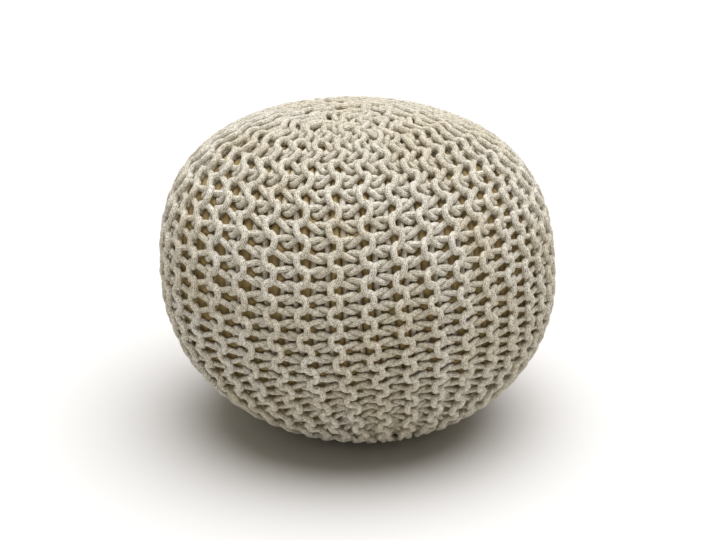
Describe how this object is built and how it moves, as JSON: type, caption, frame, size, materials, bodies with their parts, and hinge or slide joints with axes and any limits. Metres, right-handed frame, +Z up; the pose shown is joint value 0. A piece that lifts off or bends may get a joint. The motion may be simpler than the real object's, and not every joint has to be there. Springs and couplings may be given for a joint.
{
  "type": "knitted pouf",
  "caption": "Round filled floor pouf in a hand-knitted cover of thick cotton cord, gathered at top and bottom; a low seat or footrest.",
  "frame": {"origin": "on the floor, under the centre of the box round the part", "axes": "+Z up, the picture's front towards -Y, +X to the picture's right"},
  "size_m": [0.5003, 0.4992, 0.404],
  "materials": {
    "cotton_cord": "matte braided cotton cord, natural cream",
    "casing_cloth": "matte plain-woven cotton, darker beige"
  },
  "bodies": {
    "root": {"knit_cover": "cotton_cord", "filled_casing": "casing_cloth"}
  },
  "joints": []
}
